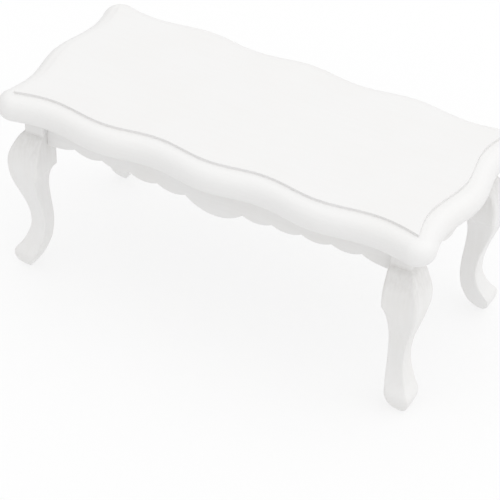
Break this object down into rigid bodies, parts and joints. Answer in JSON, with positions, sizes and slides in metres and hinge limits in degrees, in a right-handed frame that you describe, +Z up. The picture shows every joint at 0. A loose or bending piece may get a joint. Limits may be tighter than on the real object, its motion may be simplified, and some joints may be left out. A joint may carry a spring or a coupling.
{
  "type": "miniature dining table",
  "caption": "Miniature rectangular dining table with a wavy moulded edge, scalloped aprons and cabriole legs, painted white.",
  "frame": {"origin": "on the floor under the middle of the table", "axes": "+X along the table's length, +Y across it, +Z up"},
  "size_m": [0.1446, 0.0682, 0.064],
  "materials": {
    "top_paint": "satin white paint on smooth wood",
    "apron_paint": "satin white paint on thin wooden board",
    "leg_paint": "satin white paint on sawn and sanded wood"
  },
  "bodies": {
    "root": {"table_top": "top_paint", "apron_front": "apron_paint", "apron_back": "apron_paint", "apron_left": "apron_paint", "apron_right": "apron_paint", "leg_front_left": "leg_paint", "leg_front_right": "leg_paint", "leg_back_left": "leg_paint", "leg_back_right": "leg_paint"}
  },
  "joints": []
}
